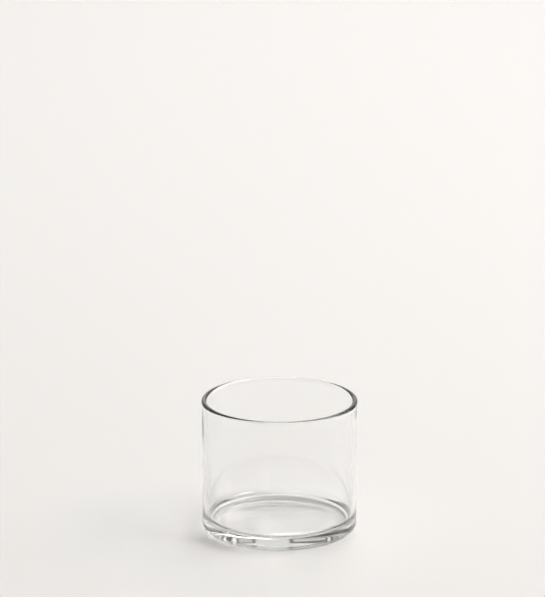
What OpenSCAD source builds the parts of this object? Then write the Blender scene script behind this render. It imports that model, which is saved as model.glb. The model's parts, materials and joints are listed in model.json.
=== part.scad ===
// Clear glass cylinder vase: a straight wall on a thick solid base, all one piece of glass.
// The origin is the centre of the underside, on the surface that the vase stands on. +Z is up,
// along the axis of the vase. Lengths are millimetres.

/* [Body] */
// Outer diameter of the straight wall
outer_d = 127; // [100:1:160]
// Overall height, from the standing surface to the top of the rim
height = 110; // [80:1:260]
// Thickness of the wall
wall_t = 4; // [3:0.1:5]
// Thickness of the glass between the floor of the hollow and the standing surface
base_t = 9; // [8:0.5:14]

/* [Edges] */
// Radius of the rounded outer edge at the foot
foot_r = 5; // [3:0.5:7]
// Radius of the fillet between the inside of the wall and the floor of the hollow
floor_r = 7; // [4:0.5:9]
// How far the melted lip swells out beyond the wall
lip_out = 0.4; // [0.2:0.1:0.6]
// Radius of the hollow curve that leads from the wall out to the lip
lip_blend_r = 8; // [5:1:12]

/* [Underside] */
// Width of the flat ring that the vase stands on
ring_w = 8.5; // [5:0.5:12]
// Height of the shallow dome inside that ring, at its centre
kick_h = 1.2; // [0.5:0.1:2]

/* [Hidden] */

outer_r = outer_d / 2;
inner_r = outer_r - wall_t;

// The rim's two edges are melted round, with a narrow flat left between them
rim_flat = 0.15 * wall_t;
rim_r = (wall_t + lip_out - rim_flat) / 2;
rim_z = height - rim_r;
rim_inner_x = inner_r + rim_r;
rim_outer_x = outer_r + lip_out - rim_r;

// The blend is an arc about [blend_x, lip_z], tangent to the wall where the lip starts, at lip_z,
// and tangent to the rim's outer edge after it has turned by blend_angle
blend_x = outer_r + lip_blend_r;
blend_reach = lip_blend_r + rim_r;
blend_angle = acos((blend_reach - lip_out) / blend_reach);
lip_z = rim_z - blend_reach * sin(blend_angle);

// Straight steps that stand for each arc of the lip
blend_steps = 5;
rim_steps = 14;

// The dome under the base is a cap of a large sphere, kick_r wide where it meets the ring
kick_r = outer_r - foot_r - ring_w;
kick_sphere_r = (kick_r * kick_r + kick_h * kick_h) / (2 * kick_h);

// How far a cutting shape runs past the face that it opens
past = 1;

// Sides of a full circle, and of the large circle that shapes the dome, which needs more
$fn = 180;
dome_fn = 1440;

// Half of an upright tumbler shape, from z to top, whose lower outer corner has radius corner_r
module half_tumbler(r, z, top, corner_r) {
    translate([0, z + corner_r])
        square([r, top - z - corner_r]);
    translate([0, z])
        square([r - corner_r, corner_r]);
    translate([r - corner_r, z + corner_r])
        circle(r = corner_r);
}

// Points along an arc about centre c, from just after angle a0 to angle a1
function arc(c, r, a0, a1, steps) =
    [for (i = [1:steps]) c + r * [cos(a0 + (a1 - a0) * i / steps), sin(a0 + (a1 - a0) * i / steps)]];

// The lip, from where it starts to swell, up over the rim and down the inside
module lip_section() {
    polygon(concat(
        [[inner_r, lip_z], [outer_r, lip_z]],
        arc([blend_x, lip_z], lip_blend_r, 180, 180 - blend_angle, blend_steps),
        arc([rim_outer_x, rim_z], rim_r, -blend_angle, 90, rim_steps),
        [[rim_inner_x, height]],
        arc([rim_inner_x, rim_z], rim_r, 90, 180, rim_steps)
    ));
}

// Half section of the glass, to the right of the vase's axis
module glass_section() {
    difference() {
        half_tumbler(outer_r, 0, lip_z, foot_r);
        half_tumbler(inner_r, base_t, height + past, floor_r);
        translate([0, kick_h - kick_sphere_r])
            circle(r = kick_sphere_r, $fn = dome_fn);
    }
    lip_section();
}

// The whole vase is one revolved piece of glass
module vase_body() {
    color([0.86, 0.89, 0.9, 0.35])
        rotate_extrude()
            glass_section();
}

vase_body();
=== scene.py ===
"""Looks for the clear glass cylinder vase: its glass, a pale floor, soft studio light and the camera.

Lengths are metres in the CAD frame: +Z is up the vase's axis, and the camera looks roughly along +Y.
Angles in tables and names are degrees. Azimuth 0 is towards +X and 90 towards +Y.
"""
import json
import math

import bpy
import numpy as np
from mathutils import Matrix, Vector


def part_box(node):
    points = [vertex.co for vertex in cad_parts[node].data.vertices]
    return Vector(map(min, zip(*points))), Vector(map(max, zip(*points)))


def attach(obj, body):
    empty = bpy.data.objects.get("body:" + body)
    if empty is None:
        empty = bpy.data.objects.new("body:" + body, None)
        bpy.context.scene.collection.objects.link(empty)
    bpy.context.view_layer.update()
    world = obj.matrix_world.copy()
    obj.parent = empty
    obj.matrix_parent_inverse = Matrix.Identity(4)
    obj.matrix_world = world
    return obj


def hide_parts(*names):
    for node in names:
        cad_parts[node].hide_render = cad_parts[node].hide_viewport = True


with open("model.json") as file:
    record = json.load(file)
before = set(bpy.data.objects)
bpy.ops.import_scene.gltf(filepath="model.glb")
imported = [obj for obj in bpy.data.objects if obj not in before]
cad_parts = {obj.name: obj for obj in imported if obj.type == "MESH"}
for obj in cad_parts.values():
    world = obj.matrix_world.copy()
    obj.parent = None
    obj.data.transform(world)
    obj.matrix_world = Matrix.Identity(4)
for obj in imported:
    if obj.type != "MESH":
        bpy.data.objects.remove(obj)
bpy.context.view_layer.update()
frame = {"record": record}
MM = 0.001

# ---------------------------------------------------------------- sizes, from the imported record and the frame
MOUNTS = {mount["name"]: mount["dims"] for mount in frame["record"]["mounts"]}
WALL_R = MOUNTS["outer_wall"]["r_mm"] * MM
WALL_LENGTH = MOUNTS["outer_wall"]["length_mm"] * MM
BORE_R = MOUNTS["hollow"]["r_mm"] * MM
BORE_LENGTH = MOUNTS["hollow"]["length_mm"] * MM
VASE_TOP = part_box("vase_body")[1]
LIP_R = VASE_TOP.x
HEIGHT = VASE_TOP.z

FOOT_R = 5.0 * MM            # rounded outer edge at the foot
FLOOR_FILLET_R = 7.0 * MM    # between the inside of the wall and the floor of the hollow
RIM_FLAT = 0.6 * MM          # left between the rim's two rounded edges
LIP_BLEND_R = 8.0 * MM       # hollow curve from the wall out to the lip
RING_WIDTH = 8.5 * MM        # flat ring that the vase stands on
DOME_HEIGHT = 1.2 * MM       # shallow dome inside that ring

RIM_R = (LIP_R - BORE_R - RIM_FLAT) / 2
RIM_Z = HEIGHT - RIM_R
FLOOR_Z = RIM_Z - BORE_LENGTH - FLOOR_FILLET_R
LIP_Z = FOOT_R + WALL_LENGTH
DOME_R = WALL_R - FOOT_R - RING_WIDTH
FILLET_X = BORE_R - FLOOR_FILLET_R

# ---------------------------------------------------------------- how finely the glass is divided
AROUND = 384                 # vertices round the vase
DOME_STEPS = 14
RING_STEPS = 5
FOOT_STEPS = 14
WALL_STEPS = 36              # up the outside, and again down the inside
BLEND_STEPS = 4
RIM_OUTER_STEPS = 10
RIM_FLAT_STEPS = 2
RIM_INNER_STEPS = 9
FILLET_STEPS = 12
FLOOR_STEPS = 19
INSIDE_ROWS = WALL_STEPS + FILLET_STEPS + FLOOR_STEPS

# ---------------------------------------------------------------- how far the glass is out of true
# size, waves round the vase, waves per metre of height, phase. The outside was shaped by a mould and is
# nearly true. The inside was shaped by air and wanders more.
OUTSIDE_WAVES = [
    (0.022 * MM, 2, 0, 0.4),
    (0.014 * MM, 5, 6, 1.9),
    (0.010 * MM, 9, -4, 3.1),
    (0.012 * MM, 0, 42, 0.7),
]
INSIDE_WAVES = [
    (0.10 * MM, 2, 3, 2.2),
    (0.06 * MM, 3, -5, 0.3),
    (0.030 * MM, 7, 5, 4.4),
    (0.015 * MM, 1, 24, 1.3),
]
FADE_AT_LIP = 12 * MM        # over which the waves die out below the lip
FADE_AT_FOOT = 8 * MM        # and above the foot
FADE_AT_FILLET = 6 * MM      # and across the floor of the hollow, before its fillet
SLACK = 1 * MM               # for telling the wall and the floor of the hollow from the rest
# the floor of the hollow rises and falls round its edge: size, lobes, phase
FLOOR_LOBES = [
    (0.10 * MM, 2, 1.0),
    (0.06 * MM, 3, 2.5),
]
DIP_DEPTH = 0.20 * MM        # it is slightly low in the middle
DIP_REACH = 0.40             # as a share of the bore's radius
FLOOR_RINGS = 0.012 * MM     # with very faint rings
RING_PITCH = 16              # radians from the middle to the bore's radius


# ---------------------------------------------------------------- small helpers
def shader_nodes(owner):
    """Empties a material's or world's node tree and returns its nodes and links."""
    owner.use_nodes = True
    owner.node_tree.nodes.clear()
    return owner.node_tree.nodes, owner.node_tree.links


def linked(name, data):
    """A new object in the scene."""
    piece = bpy.data.objects.new(name, data)
    bpy.context.scene.collection.objects.link(piece)
    return piece


def ranged(nodes, links, value, source, target, smooth=False):
    """Value taken from one range to another, and held at its ends."""
    node = nodes.new("ShaderNodeMapRange")
    if smooth:
        node.interpolation_type = "SMOOTHSTEP"
    node.inputs["From Min"].default_value, node.inputs["From Max"].default_value = source
    node.inputs["To Min"].default_value, node.inputs["To Max"].default_value = target
    links.new(value, node.inputs["Value"])
    return node.outputs["Result"]


def combined(nodes, links, operation, *values):
    """Result of a Math node on numbers and sockets."""
    node = nodes.new("ShaderNodeMath")
    node.operation = operation
    for socket, value in zip(node.inputs, values):
        if isinstance(value, (int, float)):
            socket.default_value = value
        else:
            links.new(value, socket)
    return node.outputs["Value"]


def noise(nodes, links, vector, scale, detail):
    """Noise over the surface, from about 0.3 to 0.7."""
    node = nodes.new("ShaderNodeTexNoise")
    node.inputs["Scale"].default_value = scale
    node.inputs["Detail"].default_value = detail
    links.new(vector, node.inputs["Vector"])
    return node.outputs["Fac"]


def separated(nodes, links, vector):
    """The X, Y and Z sockets of a vector."""
    node = nodes.new("ShaderNodeSeparateXYZ")
    links.new(vector, node.inputs["Vector"])
    return node.outputs


# ---------------------------------------------------------------- the glass
def arc(cx, cz, r, start, end, steps):
    """Points along an arc in the half section, from just after start to end."""
    turns = [math.radians(start + (end - start) * i / steps) for i in range(1, steps + 1)]
    return [(cx + r * math.cos(t), cz + r * math.sin(t)) for t in turns]


def line(a, b, steps):
    """Points along a straight stretch of the half section, from just after a to b."""
    return [tuple(p + (q - p) * i / steps for p, q in zip(a, b)) for i in range(1, steps + 1)]


def dome():
    """Points of the shallow dome, from beside its middle out to the standing ring."""
    shares = [i / DOME_STEPS for i in range(1, DOME_STEPS + 1)]
    return [(DOME_R * share, DOME_HEIGHT * (1 - share ** 2)) for share in shares]


def half_section():
    """Half section of the glass, from under its middle out, up, over the lip and in to the floor."""
    foot_x = WALL_R - FOOT_R
    fillet_z = FLOOR_Z + FLOOR_FILLET_R
    rim_outer_x = LIP_R - RIM_R
    rim_inner_x = BORE_R + RIM_R
    reach = LIP_BLEND_R + RIM_R
    turn = math.degrees(math.acos((reach - LIP_R + WALL_R) / reach))
    points = dome()
    points += line((DOME_R, 0), (foot_x, 0), RING_STEPS)
    points += arc(foot_x, FOOT_R, FOOT_R, -90, 0, FOOT_STEPS)
    points += line((WALL_R, FOOT_R), (WALL_R, LIP_Z), WALL_STEPS)
    points += arc(WALL_R + LIP_BLEND_R, LIP_Z, LIP_BLEND_R, 180, 180 - turn, BLEND_STEPS)
    points += arc(rim_outer_x, RIM_Z, RIM_R, -turn, 90, RIM_OUTER_STEPS)
    points += line((rim_outer_x, HEIGHT), (rim_inner_x, HEIGHT), RIM_FLAT_STEPS)
    points += arc(rim_inner_x, RIM_Z, RIM_R, 90, 180, RIM_INNER_STEPS)
    points += line((BORE_R, RIM_Z), (BORE_R, fillet_z), WALL_STEPS)
    points += arc(FILLET_X, fillet_z, FLOOR_FILLET_R, 0, -90, FILLET_STEPS)
    points += line((FILLET_X, FLOOR_Z), (FILLET_X / (FLOOR_STEPS + 1), FLOOR_Z), FLOOR_STEPS)
    return np.array(points)


def waves(turn, up, table):
    """Sum of smooth waves over the surface."""
    total = np.zeros(np.broadcast(turn, up).shape)
    for size, around, along, phase in table:
        total += size * np.cos(around * turn + 2 * math.pi * along * up + phase)
    return total


def uneven_glass(section, turn):
    """Radius and height of each vertex, row by row, with the small unevenness of blown glass."""
    rows = len(section)
    r = np.repeat(section[:, :1], len(turn), 1)
    z = np.repeat(section[:, 1:], len(turn), 1)
    is_inside = (np.arange(rows) >= rows - INSIDE_ROWS)[:, None]
    is_wall = r > BORE_R - SLACK
    fade = np.clip((LIP_Z - z) / FADE_AT_LIP, 0, 1) * np.clip((z - FOOT_R) / FADE_AT_FOOT, 0, 1)
    out_of_true = np.where(is_inside, waves(turn, z, INSIDE_WAVES), waves(turn, z, OUTSIDE_WAVES))
    r += out_of_true * fade * is_wall

    is_floor = is_inside & (z < FLOOR_Z + SLACK)
    reach = r / BORE_R
    lobes = sum(size * np.cos(count * turn + phase) * reach ** count for size, count, phase in FLOOR_LOBES)
    dip = FLOOR_RINGS * np.cos(reach * RING_PITCH) - DIP_DEPTH * np.exp(-(reach / DIP_REACH) ** 2)
    z += np.where(is_floor, (lobes + dip) * np.clip((FILLET_X - r) / FADE_AT_FILLET, 0, 1), 0)
    return r, z


def skin_faces(rows):
    """Quads between the rows, and a fan round each of the two poles that close the skin."""
    faces = []
    under = rows * AROUND
    over = under + 1
    last = (rows - 1) * AROUND
    for i in range(rows - 1):
        low = i * AROUND
        high = low + AROUND
        faces += [(low + j, low + (j + 1) % AROUND, high + (j + 1) % AROUND, high + j) for j in range(AROUND)]
    for j in range(AROUND):
        k = (j + 1) % AROUND
        faces.append((under, k, j))
        faces.append((over, last + j, last + k))
    return faces


def vase_glass():
    """The vase's glass as one closed skin of revolution."""
    section = half_section()
    turn = np.arange(AROUND) * 2 * math.pi / AROUND
    r, z = uneven_glass(section, turn)
    verts = np.stack([r * np.cos(turn), r * np.sin(turn), z], -1).reshape(-1, 3)
    poles = [(0, 0, DOME_HEIGHT), (0, 0, float(z[-1].mean()))]
    mesh = bpy.data.meshes.new("vase_glass")
    mesh.from_pydata([tuple(v) for v in verts] + poles, [], skin_faces(len(section)))
    mesh.validate()
    mesh.shade_smooth()
    mesh.update()
    mesh.materials.append(glass_material())
    return linked("vase_glass", mesh)


# ---------------------------------------------------------------- what the glass looks like
WEAR_HEIGHTS = (0.30 * MM, 0.02 * MM)       # above the table: where the ring's wear begins, and is whole


def polish(nodes, links, surface):
    """Roughness of the fire polish, which is faintly uneven."""
    haze = noise(nodes, links, surface, scale=55, detail=4)
    return ranged(nodes, links, haze, source=(0.45, 0.75), target=(0, 0.02))


def ring_wear(nodes, links, surface):
    """Extra roughness where the standing ring rubs on tables: fine scuffs in patches."""
    blotches = noise(nodes, links, surface, scale=90, detail=2)
    patches = ranged(nodes, links, blotches, source=(0.35, 0.65), target=(0.02, 0.32))
    scuffs = noise(nodes, links, surface, scale=2200, detail=2)
    rubbed = combined(nodes, links, "MULTIPLY", patches, scuffs)
    height = separated(nodes, links, surface)["Z"]
    contact = ranged(nodes, links, height, WEAR_HEIGHTS, (0, 1), smooth=True)
    return combined(nodes, links, "MULTIPLY", contact, rubbed)


def ripple(nodes, links, surface):
    """Normal with the slow ripples of blown glass."""
    bump = nodes.new("ShaderNodeBump")
    bump.inputs["Strength"].default_value = 0.25
    bump.inputs["Distance"].default_value = 0.08 * MM
    links.new(noise(nodes, links, surface, scale=70, detail=1), bump.inputs["Height"])
    return bump.outputs["Normal"]


def glass_material():
    """Clear soda-lime glass that absorbs a little light with depth, and is worn on the standing ring."""
    mat = bpy.data.materials.new("clear_glass")
    nodes, links = shader_nodes(mat)
    out = nodes.new("ShaderNodeOutputMaterial")
    glass = nodes.new("ShaderNodeBsdfPrincipled")
    glass.inputs["Base Color"].default_value = (0.99, 0.99, 0.99, 1)
    glass.inputs["Transmission Weight"].default_value = 1.0
    glass.inputs["IOR"].default_value = 1.52
    links.new(glass.outputs["BSDF"], out.inputs["Surface"])

    depth = nodes.new("ShaderNodeVolumeAbsorption")
    depth.inputs["Color"].default_value = (0.967, 0.970, 0.968, 1)
    depth.inputs["Density"].default_value = 52.0
    links.new(depth.outputs["Volume"], out.inputs["Volume"])

    surface = nodes.new("ShaderNodeTexCoord").outputs["Object"]
    wear = ring_wear(nodes, links, surface)
    roughness = combined(nodes, links, "ADD", wear, polish(nodes, links, surface))
    links.new(roughness, glass.inputs["Roughness"])
    links.new(ripple(nodes, links, surface), glass.inputs["Normal"])
    return mat


vase = vase_glass()
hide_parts("vase_body")
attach(vase, "root")

# ---------------------------------------------------------------- floor
FLOOR_HALF = 6.0             # half the side of the square floor
FLOOR_Z_GAP = 0.02 * MM      # keeps the floor's face apart from the standing ring's


def floor_material():
    """Matt pale table top."""
    mat = bpy.data.materials.new("floor_pale")
    nodes, links = shader_nodes(mat)
    out = nodes.new("ShaderNodeOutputMaterial")
    paint = nodes.new("ShaderNodeBsdfPrincipled")
    paint.inputs["Roughness"].default_value = 0.6
    paint.inputs["Base Color"].default_value = (0.86, 0.857, 0.851, 1)
    links.new(paint.outputs["BSDF"], out.inputs["Surface"])
    return mat


def make_floor():
    """A flat floor that runs out to the horizon."""
    corners = [(x * FLOOR_HALF, y * FLOOR_HALF, 0) for x, y in ((-1, -1), (1, -1), (1, 1), (-1, 1))]
    mesh = bpy.data.meshes.new("floor")
    mesh.from_pydata(corners, [], [(0, 1, 2, 3)])
    mesh.materials.append(floor_material())
    floor = linked("floor", mesh)
    floor.location.z = -FLOOR_Z_GAP


make_floor()

# ---------------------------------------------------------------- lamps
KEY_COLOUR = (1, 0.977, 0.944)
BACK_COLOUR = (1, 0.99, 0.975)


def area_light(name, place, target, size, watts, colour):
    """A square soft box at place that faces target."""
    lamp = bpy.data.lights.new(name, "AREA")
    lamp.shape = "RECTANGLE"
    lamp.size = size
    lamp.size_y = size
    lamp.energy = watts
    lamp.color = colour
    box = linked(name, lamp)
    box.location = place
    box.rotation_euler = (Vector(target) - Vector(place)).to_track_quat("-Z", "Y").to_euler()


def sun(name, azimuth, elevation, strength, angle, colour):
    """A distant light, as wide as angle, that comes from azimuth and elevation."""
    lamp = bpy.data.lights.new(name, "SUN")
    lamp.energy = strength
    lamp.angle = math.radians(angle)
    lamp.color = colour
    turn = math.radians(azimuth)
    rise = math.radians(elevation)
    toward = Vector((math.cos(turn) * math.cos(rise), math.sin(turn) * math.cos(rise), math.sin(rise)))
    source = linked(name, lamp)
    source.rotation_euler = (-toward).to_track_quat("-Z", "Y").to_euler()


sun("key", azimuth=-18, elevation=46, strength=0.98, angle=20, colour=KEY_COLOUR)
area_light("softbox", place=(2.0, 0.2, 1.9), target=(0, 0.3, 0.05), size=1.1, watts=14, colour=KEY_COLOUR)
area_light("back", place=(0.7, 2.8, 3.1), target=(0, 0.2, 0), size=2.0, watts=52, colour=BACK_COLOUR)

# ---------------------------------------------------------------- the room that the glass reflects
# bright panels: from and to azimuth, from and to elevation, and brightness
PANELS = [
    (0, 10, 5, 48, 2.60),               # window with four panes, one of them brighter
    (13, 25, 5, 48, 2.60),
    (29, 35, 5, 48, 4.60),
    (38, 41, 5, 48, 2.20),
    (49.5, 50.5, 7, 36, 1.60),          # narrow strips beside it
    (55.5, 56.3, 8, 36, 1.20),
    (63, 65.5, 6, 40, 1.20),
    (67.5, 76, 4, 22, 0.70),
    (67.5, 76, 26, 44, 0.62),
    (78, 95, 4, 46, 0.90),              # pale wall behind the vase
    (97, 116.5, 4, 20, 0.76),           # its greyer part, in two bands
    (97, 116.5, 22.5, 40, 0.66),
    (119, 120.5, 6, 38, 1.00),          # narrow strips beyond it
    (124, 127, 7, 34, 0.55),
    (131, 132.5, 6, 38, 1.10),
    (137, 146, 5, 44, 1.30),            # white cards on the left
    (150, 176, 5, 44, 0.85),
    (196, 224, 6, 40, 0.30),
    (236, 274, 5, 50, 0.24),            # the room in front
    (284, 302, 6, 44, 1.20),
]
EDGE = 1.0                   # half the width of a panel's soft edge
DIM = 0.20                   # brightness between the panels, and overhead
HORIZON = 0.56               # brightness at the horizon, to match the far floor
HORIZON_BY_WINDOW = 0.18     # added towards the window, where the far floor shines
WINDOW_AZIMUTH = 20
SHINE_ENDS = (-0.34, 1)      # cosines of the turn from the window at which that shine is gone, and is whole
HORIZON_ENDS = (5, 1.5)      # elevations at which the horizon's band is gone, and is whole


def sine(angle):
    """Sine of an angle in degrees: the height of a direction that rises by it."""
    return math.sin(math.radians(angle))


def facing(nodes, links, heading, azimuth):
    """Cosine of the angle between the level heading and an azimuth."""
    node = nodes.new("ShaderNodeVectorMath")
    node.operation = "DOT_PRODUCT"
    turn = math.radians(azimuth)
    node.inputs[1].default_value = (math.cos(turn), math.sin(turn), 0)
    links.new(heading, node.inputs[0])
    return node.outputs["Value"]


def level_heading(nodes, links, direction):
    """Level unit vector under a direction."""
    flat = nodes.new("ShaderNodeVectorMath")
    flat.operation = "MULTIPLY"
    flat.inputs[1].default_value = (1, 1, 0)
    links.new(direction, flat.inputs[0])
    heading = nodes.new("ShaderNodeVectorMath")
    heading.operation = "NORMALIZE"
    links.new(flat.outputs["Vector"], heading.inputs[0])
    return heading.outputs["Vector"]


def horizon_band(nodes, links, heading, height):
    """Brightness that the horizon adds to DIM."""
    toward_window = facing(nodes, links, heading, WINDOW_AZIMUTH)
    shine = ranged(nodes, links, toward_window, SHINE_ENDS, (0, HORIZON_BY_WINDOW), smooth=True)
    level = combined(nodes, links, "ADD", shine, HORIZON - DIM)
    mask = ranged(nodes, links, height, [sine(end) for end in HORIZON_ENDS], (0, 1), smooth=True)
    return combined(nodes, links, "MULTIPLY", level, mask)


def panel(nodes, links, heading, height, left, right, low, high, level):
    """Brightness that one panel adds to DIM."""
    half = (right - left) / 2
    sides = [math.cos(math.radians(half + side)) for side in (EDGE, -EDGE)]
    aim = facing(nodes, links, heading, (left + right) / 2)
    across = ranged(nodes, links, aim, sides, (0, level - DIM), smooth=True)
    foot = ranged(nodes, links, height, (sine(low - EDGE), sine(low + EDGE)), (0, 1), smooth=True)
    head = ranged(nodes, links, height, (sine(high + EDGE), sine(high - EDGE)), (0, 1), smooth=True)
    upright = combined(nodes, links, "MULTIPLY", across, foot)
    return combined(nodes, links, "MULTIPLY", upright, head)


def make_world():
    """A dim room with bright panels, over a horizon that matches the far floor."""
    world = bpy.data.worlds.new("studio")
    bpy.context.scene.world = world
    nodes, links = shader_nodes(world)
    out = nodes.new("ShaderNodeOutputWorld")
    sky = nodes.new("ShaderNodeBackground")
    sky.inputs["Color"].default_value = (*KEY_COLOUR, 1)
    links.new(sky.outputs["Background"], out.inputs["Surface"])

    direction = nodes.new("ShaderNodeTexCoord").outputs["Generated"]
    height = separated(nodes, links, direction)["Z"]
    heading = level_heading(nodes, links, direction)
    total = combined(nodes, links, "ADD", horizon_band(nodes, links, heading, height), DIM)
    for edges_and_level in PANELS:
        light = panel(nodes, links, heading, height, *edges_and_level)
        total = combined(nodes, links, "ADD", total, light)
    links.new(total, sky.inputs["Strength"])


make_world()

# ---------------------------------------------------------------- camera, fitted to the photograph's outlines
CAMERA_DISTANCE = 3.0                   # level distance from the vase's axis
VIEW_DOWN = math.radians(19.35)         # slope of the line from the camera to the foot of the vase
AIM = Vector((-0.0057, 0, 0.1955))      # above the vase, because its flowers would stand there
LENS_MM = 231.9


def make_camera():
    """The photograph's view: from far away, with a long lens."""
    data = bpy.data.cameras.new("camera")
    data.lens = LENS_MM
    data.sensor_width = 36
    data.clip_start = 0.1
    data.clip_end = 50
    camera = linked("camera", data)
    camera.location = (0, -CAMERA_DISTANCE, CAMERA_DISTANCE * math.tan(VIEW_DOWN))
    camera.rotation_euler = (AIM - camera.location).to_track_quat("-Z", "Y").to_euler()
    bpy.context.scene.camera = camera


make_camera()

# ---------------------------------------------------------------- settings
scene = bpy.context.scene
scene.view_settings.view_transform = "Standard"
scene.cycles.use_denoising = True
scene.cycles.denoising_input_passes = "RGB_ALBEDO"      # keeps the thin lines in the foot
scene.cycles.max_bounces = 24
scene.cycles.transmission_bounces = 20
scene.cycles.glossy_bounces = 8
scene.cycles.caustics_refractive = True
scene.cycles.caustics_reflective = True
scene.cycles.sample_clamp_indirect = 30
scene.cycles.blur_glossy = 0                            # or the floor under the glass comes out too dark
